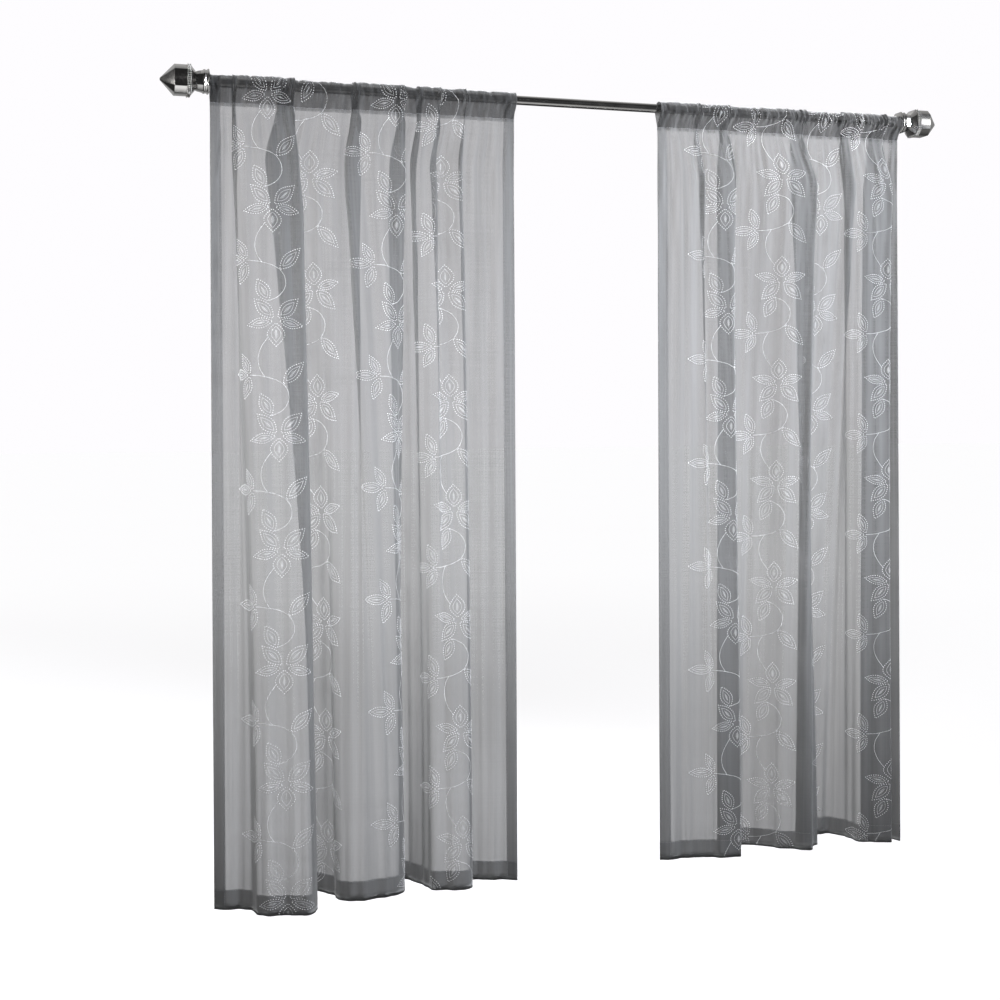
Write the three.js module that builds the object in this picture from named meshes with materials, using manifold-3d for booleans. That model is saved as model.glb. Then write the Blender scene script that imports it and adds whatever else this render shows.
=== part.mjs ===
// A pair of sheer voile curtain panels gathered on a metal rod that ends in faceted square finials.
// Millimetres, +Z up. The origin is on the rod's axis at mid-length: +X runs along the rod, -Y faces
// the room and +Y faces the wall.
import * as THREE from "three";
import Module from "manifold-3d";
import { mergeVertices } from "three/addons/utils/BufferGeometryUtils.js";

const wasm = await Module();
wasm.setup();

// Rod, with its ends seated in the collars.
const ROD_DIAMETER = 25;
const ROD_SIDES = 24;
const SOCKET_DEPTH = 20;
const SEAT_GAP = 0.3;
const COLLAR_FACE = 1003; // from mid-rod to the face of each collar

// Collars and finials are square bars with cut corners. Each row is a section across the bar:
// its distance out from the collar's face, half its side and the corner cut away.
const COLLAR_SECTIONS = [
  { out: 0, half: 30, cut: 14 },
  { out: 5, half: 30, cut: 14 },
  { out: 33, half: 23, cut: 10 },
];
const FINIAL_SECTIONS = [
  { out: 33.3, half: 22, cut: 9 },
  { out: 46, half: 35, cut: 14 },
  { out: 47, half: 38, cut: 15.5 },
  { out: 57, half: 38, cut: 15.5 },
  { out: 58, half: 36.5, cut: 15 },
  { out: 88, half: 36.5, cut: 15 },
  { out: 123, half: 3, cut: 1.2 },
];

// Panels as cut and sewn: two alike, each with a rod pocket at the top and turned hems.
const FLAT_WIDTH = 1320;
const PANEL_LENGTH = 2134;
const CLOTH_THICKNESS = 1.2;
const HEM_THICKNESS = 1.9;
const BOTTOM_HEM = 51;
const SIDE_HEM = 30;
const HEM_STEP = 1; // the stretch over which the turned edge of a hem ends

// The pocket: a loop that rests on the rod's top and closes at its stitched seam.
const POCKET_RADIUS = 16;
const POCKET_EASE = 1.05; // loop's crown above the rod, so that its flat facets clear the rod
const POCKET_TURN = THREE.MathUtils.degToRad(110); // the arc to each side of the crown
const POCKET_STEPS = 6;
const SEAM_HEIGHT = -52;
const SEAM_SETBACK = -1;
const SEAM_OPENING = 0.2; // where the tunnel starts, as a share of the way from the seam to the arc

// Small gathers in the heading: two unequal waves across the flat cloth, laid over the folds below.
const GATHER_DEPTH = 6;
const GATHER_LIFT = 2.5;
const GATHER_SWAY = 2;
const HEADING_FOLLOW = 0.2; // how far the heading leans with the tucks below it
const GATHER_WAVES = [
  { length: 97, share: 0.6, start: 0.4 },
  { length: 61, share: 0.4, start: 2.1 },
];

// Heights where the folds change. The gathers lie over into tucks by TUCK_HEIGHT, and from there the
// tucks open out towards the hem.
const TUCK_HEIGHT = -200;
const EARLY_OPENING = 0.6;
const CROWN_HEIGHT = ROD_DIAMETER / 2 + POCKET_EASE + CLOTH_THICKNESS / 2;
const HEM_HEIGHT = CROWN_HEIGHT + CLOTH_THICKNESS / 2 - PANEL_LENGTH;
const HEM_TOP = HEM_HEIGHT + BOTTOM_HEM;
const HANG_HEIGHTS = [
  HEM_HEIGHT,
  HEM_TOP,
  HEM_TOP + HEM_STEP,
  -1750,
  -1400,
  -1050,
  -720,
  -450,
  -300,
  TUCK_HEIGHT,
  -160,
  -120,
  -85,
  SEAM_HEIGHT - 6,
  SEAM_HEIGHT,
];

// How columns of points share out across a panel: evenly along the cloth, and closer in its turns.
const COLUMNS = 70;
const TURN_WEIGHT = 22;
const MEASURE_STEP = 4;

// Fold tables, a row for each turn of the cloth. along: place on the flat cloth from its left edge.
// x: distance along the rod from the panel's left edge. y: towards the wall. rise: hem lifted above
// its level. "tucks" is the section at TUCK_HEIGHT and "hem" the section at the bottom.
const foldRow = ([along, x, y, rise = 0]) => ({ along, x, y, rise });

const LEFT_PANEL = {
  name: "panel_left",
  start: -1001,
  spread: 817,
  tucks: [
    [0, 0, 0],
    [72, 68, 10],
    [88, 70, -2],
    [108, 53, -8],
    [122, 55, -20],
    [150, 82, -25],
    [219, 152, -34],
    [290, 222, -32],
    [306, 224, -18],
    [385, 148, 10],
    [401, 150, 24],
    [507, 255, 22],
    [626, 385, 16],
    [640, 386, 4],
    [672, 352, -4],
    [686, 354, -17],
    [828, 505, -20],
    [842, 506, -8],
    [868, 474, 4],
    [882, 477, 17],
    [942, 545, 19],
    [955, 544, 7],
    [974, 522, -4],
    [987, 526, -17],
    [1040, 590, -19],
    [1054, 591, -6],
    [1064, 585, 2],
    [1078, 589, 12],
    [1150, 662, -14],
    [1164, 660, -1],
    [1178, 664, 10],
    [1320, 817, 0],
  ].map(foldRow),
  hem: [
    [0, 0, -5],
    [94, 87, -41],
    [146, 106, -88],
    [257, 212, -122],
    [293, 245, -108],
    [380, 262, -22],
    [465, 275, 61],
    [527, 314, 13],
    [577, 321, -36],
    [609, 350, -50],
    [705, 446, -46],
    [760, 493, -18],
    [818, 502, 40],
    [875, 508, 92],
    [895, 527, 88],
    [1000, 570, -6],
    [1025, 581, -28],
    [1088, 641, -47],
    [1129, 679, -32],
    [1190, 698, 26],
    [1320, 813, -12],
  ].map(foldRow),
};

const RIGHT_PANEL = {
  name: "panel_right",
  start: 237,
  spread: 764,
  tucks: [
    [0, 0, 0],
    [138, 138, -10],
    [158, 128, 8],
    [228, 199, -12],
    [262, 235, -18],
    [278, 236, -4],
    [320, 192, 8],
    [336, 196, 21],
    [430, 292, 14],
    [516, 382, -12],
    [616, 486, -18],
    [632, 488, -4],
    [698, 424, 6],
    [714, 427, 20],
    [804, 516, 22],
    [908, 626, 18],
    [924, 627, 4],
    [966, 580, -6],
    [982, 583, -20],
    [1092, 696, -22],
    [1122, 732, -20],
    [1138, 732, -6],
    [1204, 658, 6],
    [1220, 661, 20],
    [1284, 732, 20],
    [1320, 764, 2],
  ].map(foldRow),
  hem: [
    [0, 15, 42],
    [80, 98, 36],
    [150, 167, 24],
    [201, 212, 2],
    [243, 250, 6],
    [310, 203, 50],
    [367, 233, 96],
    [442, 308, 104],
    [505, 364, 77],
    [543, 388, 48],
    [577, 416, 28],
    [628, 461, 3],
    [671, 495, 30],
    [700, 516, 50],
    [765, 463, 85, 4],
    [825, 508, 116, 8],
    [890, 571, 116, 8],
    [914, 594, 110, 8],
    [987, 634, 64, 3],
    [1030, 652, 28],
    [1082, 702, 8],
    [1110, 732, 2],
    [1124, 732, 16],
    [1186, 668, 38],
    [1204, 668, 56],
    [1275, 734, 52],
    [1320, 764, 2],
  ].map(foldRow),
};

const VOILE = new THREE.MeshStandardMaterial({
  color: 0x9a9ca0,
  roughness: 0.85,
  metalness: 0,
  transparent: true,
  opacity: 0.65,
});
const NICKEL = new THREE.MeshStandardMaterial({ color: 0xb4b3ae, roughness: 0.16, metalness: 1 });

const lerp = THREE.MathUtils.lerp;
const smoothstep = (value) => THREE.MathUtils.smoothstep(value, 0, 1);

// A smooth curve through the rows of a fold table, read at one place along the flat cloth.
function readFolds(rows, along) {
  const after = rows.findIndex((row) => row.along > along);
  const k = after < 0 ? rows.length - 2 : Math.max(after - 1, 0);
  const from = rows[k];
  const to = rows[k + 1];
  const before = rows[Math.max(k - 1, 0)];
  const beyond = rows[Math.min(k + 2, rows.length - 1)];
  const length = to.along - from.along;
  const t = (along - from.along) / length;
  const read = (key) => {
    const slopeFrom = (to[key] - before[key]) / (to.along - before.along);
    const slopeTo = (beyond[key] - from[key]) / (beyond.along - from.along);
    return (
      (2 * t ** 3 - 3 * t ** 2 + 1) * from[key] +
      (t ** 3 - 2 * t ** 2 + t) * length * slopeFrom +
      (3 * t ** 2 - 2 * t ** 3) * to[key] +
      (t ** 3 - t ** 2) * length * slopeTo
    );
  };
  return { x: read("x"), y: read("y"), rise: read("rise") };
}

// The gathers' wave at one place along the flat cloth, from 0 to 1.
function gatherWave(along) {
  const sum = GATHER_WAVES.reduce(
    (total, wave) => total + wave.share * Math.sin((2 * Math.PI * along) / wave.length + wave.start),
    0,
  );
  return (sum + 1) / 2;
}

// Heading line: the cloth drawn up evenly on the rod, swaying with its gathers and the tucks below.
function headingPoint(panel, along) {
  const lean = HEADING_FOLLOW * readFolds(panel.tucks, along).y;
  return {
    x: (along / FLAT_WIDTH) * panel.spread,
    y: SEAM_SETBACK + lean + GATHER_SWAY * (1 - 2 * gatherWave(along)),
  };
}

// The hanging cloth, from the seam down to the hem.
function hangPoint(panel, along, height) {
  const heading = headingPoint(panel, along);
  const tucks = readFolds(panel.tucks, along);
  const hem = readFolds(panel.hem, along);
  const fallen = Math.max((TUCK_HEIGHT - height) / (TUCK_HEIGHT - HEM_HEIGHT), 0);
  const opened = fallen * (1 + EARLY_OPENING * (1 - fallen));
  const laidOver = smoothstep((SEAM_HEIGHT - height) / (SEAM_HEIGHT - TUCK_HEIGHT));
  return new THREE.Vector3(
    lerp(heading.x, lerp(tucks.x, hem.x, opened), laidOver),
    lerp(heading.y, lerp(tucks.y, hem.y, opened), laidOver),
    height + hem.rise * fallen,
  );
}

// The pocket's section: up from the seam, over the rod and down to the seam again at the back.
function pocketSection() {
  const arc = Array.from({ length: POCKET_STEPS + 1 }, (_, step) => {
    const angle = lerp(-POCKET_TURN, POCKET_TURN, step / POCKET_STEPS);
    return {
      y: POCKET_RADIUS * Math.sin(angle),
      z: CROWN_HEIGHT - POCKET_RADIUS * (1 - Math.cos(angle)),
      lift: Math.max(Math.cos(angle), 0),
      sway: 0.5 - 0.5 * Math.cos(angle),
    };
  });
  const side = arc[0];
  const opening = {
    y: side.y * SEAM_OPENING,
    z: lerp(SEAM_HEIGHT, side.z, SEAM_OPENING),
    lift: 0,
    sway: 1,
  };
  const behind = { ...opening, y: CLOTH_THICKNESS - opening.y };
  const seamBehind = { y: CLOTH_THICKNESS, z: SEAM_HEIGHT, lift: 0, sway: 1 };
  return [opening, ...arc, behind, seamBehind];
}

const POCKET_SECTION = pocketSection();

// The pocket's cloth bulges away from the rod in its gathers and never towards it.
function pocketPoint(panel, along, section) {
  const heading = headingPoint(panel, along);
  const bulge = GATHER_DEPTH * gatherWave(along) * Math.sin(Math.PI * section.sway);
  return new THREE.Vector3(
    heading.x,
    section.y + Math.sign(section.y) * bulge + heading.y * Math.max(2 * section.sway - 1, 0),
    section.z + GATHER_LIFT * gatherWave(along) * section.lift,
  );
}

// Places along the flat cloth for the columns of points, with the edges of the side hems kept.
function columnPlaces(panel) {
  const direction = (rows, along) => {
    const a = readFolds(rows, along);
    const b = readFolds(rows, along + MEASURE_STEP);
    return Math.atan2(b.y - a.y, b.x - a.x);
  };
  const turn = (rows, along) => {
    const change = direction(rows, along) - direction(rows, along - MEASURE_STEP);
    return Math.abs(Math.atan2(Math.sin(change), Math.cos(change)));
  };
  const hemEdge = SIDE_HEM + HEM_STEP;
  const measured = [{ along: hemEdge, total: 0 }];
  for (let along = hemEdge + MEASURE_STEP; along < FLAT_WIDTH - hemEdge; along += MEASURE_STEP) {
    const turned = turn(panel.tucks, along) + turn(panel.hem, along);
    const total = measured.at(-1).total + MEASURE_STEP + TURN_WEIGHT * turned;
    measured.push({ along, total });
  }
  const share = measured.at(-1).total / COLUMNS;
  const inner = Array.from({ length: COLUMNS }, (_, column) => {
    const k = Math.max(measured.findIndex((place) => place.total > column * share), 1);
    const [from, to] = [measured[k - 1], measured[k]];
    const t = (column * share - from.total) / (to.total - from.total);
    return lerp(from.along, to.along, t);
  });
  const leftEdge = [0, SIDE_HEM];
  const rightEdge = [hemEdge, SIDE_HEM, 0].map((inset) => FLAT_WIDTH - inset);
  return [...leftEdge, ...inner, ...rightEdge];
}

function clothThickness(along, height) {
  const inSideHem = Math.min(along, FLAT_WIDTH - along) <= SIDE_HEM;
  return inSideHem || height <= HEM_TOP ? HEM_THICKNESS : CLOTH_THICKNESS;
}

// Front and back points of the sheet, half its thickness to each side of its middle surface.
function sheetSides(panel, places) {
  const seamRow = HANG_HEIGHTS.length - 1;
  const middle = places.map((along) => [
    ...HANG_HEIGHTS.map((height) => hangPoint(panel, along, height)),
    ...POCKET_SECTION.map((section) => pocketPoint(panel, along, section)),
  ]);
  const lastColumn = places.length - 1;
  const lastRow = middle[0].length - 1;
  const sides = { front: [], back: [], seamRow, lastRow };
  middle.forEach((column, c) => {
    const fronts = [];
    const backs = [];
    column.forEach((point, r) => {
      const across = middle[Math.min(c + 1, lastColumn)][r].clone();
      across.sub(middle[Math.max(c - 1, 0)][r]);
      const up = column[Math.min(r + 1, lastRow)].clone().sub(column[Math.max(r - 1, 0)]);
      const normal = across.cross(up).normalize();
      const height = r <= seamRow ? HANG_HEIGHTS[r] : SEAM_HEIGHT;
      const half = clothThickness(places[c], height) / 2;
      fronts.push(point.clone().addScaledVector(normal, half));
      backs.push(point.clone().addScaledVector(normal, -half));
    });
    sides.front.push(fronts);
    sides.back.push(backs);
  });
  return sides;
}

// Collects points and triangles of one closed surface.
class Surface {
  constructor() {
    this.points = [];
    this.triangles = [];
  }

  add(point) {
    this.points.push(point.x, point.y, point.z);
    return this.points.length / 3 - 1;
  }

  quad(a, b, c, d) {
    this.triangles.push(a, b, c, a, c, d);
  }

  // Covers neighbouring lines of point numbers with quads. Skins on the two sides of a sheet are split
  // along the same diagonals, so that they stay parallel where the sheet twists.
  skin(lines, facesBack) {
    for (let k = 0; k + 1 < lines.length; k++) {
      const [here, next] = [lines[k], lines[k + 1]];
      for (let i = 0; i + 1 < here.length; i++) {
        if (facesBack) this.quad(here[i], here[i + 1], next[i + 1], next[i]);
        else this.quad(here[i], next[i], next[i + 1], here[i + 1]);
      }
    }
  }

  geometry() {
    const made = new THREE.BufferGeometry();
    made.setAttribute("position", new THREE.Float32BufferAttribute(this.points, 3));
    made.setIndex(this.triangles);
    made.computeVertexNormals();
    return made;
  }
}

// One panel: the skin round the sheet, the skin inside the pocket's tunnel and the two side edges.
function panelGeometry(panel) {
  const surface = new Surface();
  const { front, back, seamRow, lastRow } = sheetSides(panel, columnPlaces(panel));
  const columns = front.map((points, c) => ({
    front: points.map((point) => surface.add(point)),
    back: back[c].map((point) => surface.add(point)),
  }));
  const belowSeam = seamRow - 1;
  const lines = (pick) => columns.map(({ front: f, back: b }) => pick(f, b));
  surface.skin(lines((f) => f), false);
  surface.skin(lines((f, b) => b.slice(0, seamRow)), true);
  surface.skin(lines((f, b) => [b[0], f[0]]), false);
  surface.skin(lines((f, b) => [f[lastRow], b[belowSeam]]), false);
  surface.skin(lines((f, b) => b.slice(seamRow + 1, lastRow)), true);
  surface.skin(lines((f, b) => [b[seamRow + 1], b[lastRow - 1]]), false);

  const edge = ({ front: f, back: b }) => {
    const faces = [];
    for (let r = 0; r < belowSeam; r++) faces.push([f[r], f[r + 1], b[r + 1], b[r]]);
    for (let r = seamRow + 1; r + 1 < lastRow; r++)
      faces.push([f[r], f[r + 1], b[r + 1], b[r]]);
    faces.push([f[belowSeam], f[seamRow], f[lastRow], b[belowSeam]]);
    faces.push([f[seamRow], b[seamRow + 1], b[lastRow - 1], f[lastRow]]);
    return {
      faces,
      corners: [
        [f[seamRow], f[seamRow + 1], b[seamRow + 1]],
        [f[lastRow - 1], f[lastRow], b[lastRow - 1]],
      ],
    };
  };
  const leftEdge = edge(columns[0]);
  leftEdge.faces.forEach(([p, q, r, s]) => surface.quad(p, q, r, s));
  leftEdge.corners.forEach(([p, q, r]) => surface.triangles.push(p, q, r));
  const rightEdge = edge(columns.at(-1));
  rightEdge.faces.forEach(([p, q, r, s]) => surface.quad(s, r, q, p));
  rightEdge.corners.forEach(([p, q, r]) => surface.triangles.push(r, q, p));

  return surface.geometry();
}

function panelMesh(panel) {
  const mesh = new THREE.Mesh(panelGeometry(panel), VOILE);
  mesh.name = panel.name;
  mesh.position.x = panel.start;
  return mesh;
}

// A bar along X from its table of square sections with cut corners.
function facetedBar(sections) {
  const surface = new Surface();
  const rings = sections.map(({ out, half, cut }) => {
    const flat = half - cut;
    const corners = [
      [flat, half],
      [half, flat],
      [half, -flat],
      [flat, -half],
      [-flat, -half],
      [-half, -flat],
      [-half, flat],
      [-flat, half],
    ];
    return corners.map(([y, z]) => surface.add(new THREE.Vector3(out, y, z)));
  });
  surface.skin(
    rings.map((ring) => [...ring, ring[0]]),
    false,
  );
  const cap = (ring, flip) => {
    for (let i = 1; i + 1 < ring.length; i++) {
      const face = [ring[0], ring[i], ring[i + 1]];
      surface.triangles.push(...(flip ? face.reverse() : face));
    }
  };
  cap(rings[0], false);
  cap(rings.at(-1), true);
  return surface.geometry();
}

function rodGeometry(radius, length) {
  return new THREE.CylinderGeometry(radius, radius, length, ROD_SIDES).rotateZ(Math.PI / 2);
}

function toSolid(geometry) {
  const bare = geometry.clone();
  bare.deleteAttribute("normal");
  bare.deleteAttribute("uv");
  const merged = mergeVertices(bare);
  const vertProperties = merged.attributes.position.array;
  const triVerts = new Uint32Array(merged.index.array);
  return new wasm.Manifold(new wasm.Mesh({ numProp: 3, vertProperties, triVerts }));
}

function toGeometry(solid) {
  const { vertProperties, triVerts } = solid.getMesh();
  const geometry = new THREE.BufferGeometry();
  geometry.setAttribute("position", new THREE.BufferAttribute(vertProperties, 3));
  geometry.setIndex(new THREE.BufferAttribute(triVerts, 1));
  geometry.computeVertexNormals();
  return geometry;
}

// A collar is bored from its face to take the rod's end.
function collarGeometry() {
  const bore = rodGeometry(ROD_DIAMETER / 2 + SEAT_GAP, 2 * (SOCKET_DEPTH + SEAT_GAP));
  return toGeometry(toSolid(facetedBar(COLLAR_SECTIONS)).subtract(toSolid(bore)));
}

// Collar and finial of one end, built pointing along +X.
function rodEnd(side) {
  const collar = new THREE.Mesh(collarGeometry(), NICKEL);
  collar.name = `collar_${side}`;
  const finial = new THREE.Mesh(facetedBar(FINIAL_SECTIONS), NICKEL);
  finial.name = `finial_${side}`;
  return new THREE.Group().add(collar, finial);
}

const curtain = new THREE.Group();
const rod = new THREE.Mesh(rodGeometry(ROD_DIAMETER / 2, 2 * (COLLAR_FACE + SOCKET_DEPTH)), NICKEL);
rod.name = "rod";
const rightEnd = rodEnd("right");
rightEnd.position.x = COLLAR_FACE;
const leftEnd = rodEnd("left");
leftEnd.position.x = -COLLAR_FACE;
leftEnd.rotation.z = Math.PI;
curtain.add(rod, leftEnd, rightEnd, panelMesh(LEFT_PANEL), panelMesh(RIGHT_PANEL));

export default curtain;
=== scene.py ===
# %% [markdown]
# # A pair of voile curtains on their rod
#
# Two sheer grey panels hang side by side from one metal rod. Each panel is a single cut of voile with a
# pocket sewn along its top, and the rod runs through both pockets. White sprays of flowers are worked
# over the cloth in chain stitch. This lesson dresses the plain solids of the curtain: the cloth becomes a
# thin sheet, the stitches become thread, and the rod and its ends become polished metal.

# %% Load the solids
import math

import bmesh
import bpy
import numpy as np
from mathutils import Matrix, Vector


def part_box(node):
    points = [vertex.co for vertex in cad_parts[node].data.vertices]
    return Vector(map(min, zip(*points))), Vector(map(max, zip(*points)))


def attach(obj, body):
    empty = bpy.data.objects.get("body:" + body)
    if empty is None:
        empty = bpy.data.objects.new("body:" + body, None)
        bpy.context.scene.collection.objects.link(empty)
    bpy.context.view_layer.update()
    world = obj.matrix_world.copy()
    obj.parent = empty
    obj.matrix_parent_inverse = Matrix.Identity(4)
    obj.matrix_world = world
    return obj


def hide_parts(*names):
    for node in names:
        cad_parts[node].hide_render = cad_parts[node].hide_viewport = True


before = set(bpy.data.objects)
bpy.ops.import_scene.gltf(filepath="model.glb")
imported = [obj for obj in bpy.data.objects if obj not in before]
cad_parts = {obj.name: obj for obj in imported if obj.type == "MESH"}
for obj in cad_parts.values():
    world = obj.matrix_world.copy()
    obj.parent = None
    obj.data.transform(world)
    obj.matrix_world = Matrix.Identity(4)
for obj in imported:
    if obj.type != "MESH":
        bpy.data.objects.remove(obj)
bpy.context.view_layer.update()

# %% [markdown]
# ## The cut of the cloth
#
# A maker thinks of a curtain as flat cloth first: how wide it is cut, how deep its hems are turned and
# where the pocket's seam runs. These are the driving sizes. They are written in millimetres, as a tape
# reads, and turned into metres at once, because the whole scene is in metres. Heights count from the rod's
# axis: the crown is where the cloth passes over the rod, and the panel is measured from the top of it.

# %% Sizes of the cloth
MM = 0.001
FLAT_WIDTH = 1320 * MM
PANEL_LENGTH = 2134 * MM
SIDE_HEM = 30 * MM
BOTTOM_HEM = 51 * MM
HALF_THICKNESS = 0.6 * MM
CROWN_HEIGHT = 14.2 * MM
SEAM_HEIGHT = -52 * MM
HEM_HEIGHT = CROWN_HEIGHT + HALF_THICKNESS - PANEL_LENGTH
print(f"each panel is {FLAT_WIDTH:.2f} m wide flat and hangs from {CROWN_HEIGHT:.3f} to {HEM_HEIGHT:.3f} m")

# %% [markdown]
# ## Where the folds lie
#
# The main folds are set at two heights: just under the heading, where the gathers lie over as
# flat tucks, and at the hem, where they have opened into round folds. Each row is one turn of the cloth:
# the place along the flat cloth, the distance along the rod from the panel's left edge, the distance to
# the back and, at the hem, how far the edge is lifted. A simulation would drape cloth too, but it would
# not put the folds where this curtain has them.

# %% Fold tables, in millimetres
LEFT_FOLDS = {
    "name": "left",
    "start": -1001,
    "spread": 817,
    "first_flower": -318,
    "spray_columns": (218, 512, 806, 1100),
    "tucks": [
        (0, 0, 0), (72, 68, 10), (88, 70, -2), (108, 53, -8), (122, 55, -20), (150, 82, -25),
        (219, 152, -34), (290, 222, -32), (306, 224, -18), (385, 148, 10), (401, 150, 24),
        (507, 255, 22), (626, 385, 16), (640, 386, 4), (672, 352, -4), (686, 354, -17),
        (828, 505, -20), (842, 506, -8), (868, 474, 4), (882, 477, 17), (942, 545, 19),
        (955, 544, 7), (974, 522, -4), (987, 526, -17), (1040, 590, -19), (1054, 591, -6),
        (1064, 585, 2), (1078, 589, 12), (1150, 662, -14), (1164, 660, -1), (1178, 664, 10),
        (1320, 817, 0),
    ],
    "hem": [
        (0, 0, -5, 0), (94, 87, -41, 0), (146, 106, -88, 0), (257, 212, -122, 0), (293, 245, -108, 0),
        (380, 262, -22, 0), (465, 275, 61, 0), (527, 314, 13, 0), (577, 321, -36, 0), (609, 350, -50, 0),
        (705, 446, -46, 0), (760, 493, -18, 0), (818, 502, 40, 0), (875, 508, 92, 0), (895, 527, 88, 0),
        (1000, 570, -6, 0), (1025, 581, -28, 0), (1088, 641, -47, 0), (1129, 679, -32, 0),
        (1190, 698, 26, 0), (1320, 813, -12, 0),
    ],
}
RIGHT_FOLDS = {
    "name": "right",
    "start": 237,
    "spread": 764,
    "first_flower": -268,
    "spray_columns": (228, 522, 816, 1112),
    "tucks": [
        (0, 0, 0), (138, 138, -10), (158, 128, 8), (228, 199, -12), (262, 235, -18), (278, 236, -4),
        (320, 192, 8), (336, 196, 21), (430, 292, 14), (516, 382, -12), (616, 486, -18),
        (632, 488, -4), (698, 424, 6), (714, 427, 20), (804, 516, 22), (908, 626, 18), (924, 627, 4),
        (966, 580, -6), (982, 583, -20), (1092, 696, -22), (1122, 732, -20), (1138, 732, -6),
        (1204, 658, 6), (1220, 661, 20), (1284, 732, 20), (1320, 764, 2),
    ],
    "hem": [
        (0, 15, 42, 0), (80, 98, 36, 0), (150, 167, 24, 0), (201, 212, 2, 0), (243, 250, 6, 0),
        (310, 203, 50, 0), (367, 233, 96, 0), (442, 308, 104, 0), (505, 364, 77, 0), (543, 388, 48, 0),
        (577, 416, 28, 0), (628, 461, 3, 0), (671, 495, 30, 0), (700, 516, 50, 0), (765, 463, 85, 4),
        (825, 508, 116, 8), (890, 571, 116, 8), (914, 594, 110, 8), (987, 634, 64, 3), (1030, 652, 28, 0),
        (1082, 702, 8, 0), (1110, 732, 2, 0), (1124, 732, 16, 0), (1186, 668, 38, 0), (1204, 668, 56, 0),
        (1275, 734, 52, 0), (1320, 764, 2, 0),
    ],
}
for folds in (LEFT_FOLDS, RIGHT_FOLDS):
    print(folds["name"], "panel", len(folds["tucks"]), "turns above and", len(folds["hem"]), "at the hem")

# %% [markdown]
# ## A smooth line through a few points
#
# Cloth never bends at a corner, so the rows of a table are joined by a cubic curve whose slope at each row
# comes from the rows on both sides of it. The same helper later draws the stems of the embroidery.

# %% Smooth line through knots
def smooth_line(knots, values, at):
    """Values on a cubic curve through the rows, read at the places `at` along the knots."""
    knots, values = np.asarray(knots, float), np.asarray(values, float)
    last = len(knots) - 1
    rows = np.arange(last + 1)
    before, after = np.maximum(rows - 1, 0), np.minimum(rows + 1, last)
    slopes = (values[after] - values[before]) / (knots[after] - knots[before])[:, None]
    k = np.clip(np.searchsorted(knots, at, side="right") - 1, 0, last - 1)
    span = (knots[k + 1] - knots[k])[..., None]
    t = (at - knots[k])[..., None] / span
    return (
        (2 * t**3 - 3 * t**2 + 1) * values[k]
        + (t**3 - 2 * t**2 + t) * span * slopes[k]
        + (3 * t**2 - 2 * t**3) * values[k + 1]
        + (t**3 - t**2) * span * slopes[k + 1]
    )


def read_folds(rows, along):
    table = np.array(rows, float) * MM
    return smooth_line(table[:, 0], table[:, 1:], along)


def mix(a, b, share):
    return a + (b - a) * share


def ease(share):
    share = np.clip(share, 0, 1)
    return share * share * (3 - 2 * share)


print("tuck section at mid-cloth:", read_folds(LEFT_FOLDS["tucks"], np.array([0.66])).round(3))

# %% [markdown]
# ## Small creases
#
# Between the main folds the voile is never quite flat. Long soft ripples run down it, and short sharp ones
# start where the pocket is drawn up. They are sums of a few waves of unequal length across the flat cloth.
# A slant lets a crease lean as it goes down, which is what makes the drawn-up heading look pulled. Round the
# rod the cloth makes puffs instead: round tops with sharp valleys between them, unevenly spaced.

# %% Ripples across the cloth
SOFT_RIPPLES = [
    (31, 0.7, 1.1, 0.008), (47, 1.2, 0.3, 0.010), (76, 2.0, 1.9, -0.014), (121, 2.8, 4.0, 0.020),
]
DRAWN_RIPPLES = [
    (21, 1.1, 0.0, 0.08), (30, 2.0, 2.2, -0.10), (43, 2.4, 4.4, 0.07), (67, 2.4, 0.9, -0.05),
]
UNEVEN = [(173, 9, 0.4, 0), (97, 6, 2.0, 0)]


def ripples(waves, along, below):
    """Sum of waves (length mm, height mm, start, slant) at places along the cloth and below the seam."""
    total = 0
    for length, height, start, slant in waves:
        total = total + height * MM * np.sin(2 * np.pi * (along + slant * below) / (length * MM) + start)
    return total


def puffs(waves, along, below):
    """Rounded puffs with sharp valleys between them, unevenly spaced, as cloth makes when it is drawn up."""
    along = along + ripples(UNEVEN, along, 0)
    total = 0
    for length, height, start, slant in waves:
        round_top = np.abs(np.sin(np.pi * (along + slant * below) / (length * MM) + start))
        total = total + height * MM * round_top**0.6
    return total


print("drawn ripples reach", round(sum(wave[1] for wave in DRAWN_RIPPLES), 1), "mm")

# %% [markdown]
# ## The main folds
#
# Below the seam a point of the cloth slides from the heading into the tucks, and from the tucks into the
# folds at the hem. `along` is the place across the flat cloth, so the tables can be read at the same spot
# and mixed by how far down it is. The tucks open faster near the top than near the hem.

# %% Main folds below the seam
HEADING_TUCKED = 0.72
HEADING_LEAN = 0.2
HEADING_RIPPLE = 0.5
SEAM_SETBACK = -1 * MM
TUCK_HEIGHT = -200 * MM
EARLY_OPENING = 0.6
GATHER_STEP = 8 * MM


def gathered(folds, along):
    """How tightly the cloth is drawn up: 0 where it lies flat along the rod, 1 where a tuck folds it back."""
    ahead = read_folds(folds["tucks"], along + GATHER_STEP)[..., 0]
    behind = read_folds(folds["tucks"], along - GATHER_STEP)[..., 0]
    return ease(1 - (ahead - behind) / (2 * GATHER_STEP))


def heading_line(folds, along):
    """Along the seam the cloth is drawn up on the rod, with the tucks already started."""
    tucks = read_folds(folds["tucks"], along)
    even = along / FLAT_WIDTH * folds["spread"] * MM
    lean = HEADING_LEAN * tucks[..., 1] + HEADING_RIPPLE * ripples(DRAWN_RIPPLES, along, 0)
    return mix(even, tucks[..., 0], HEADING_TUCKED), SEAM_SETBACK + lean


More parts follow.
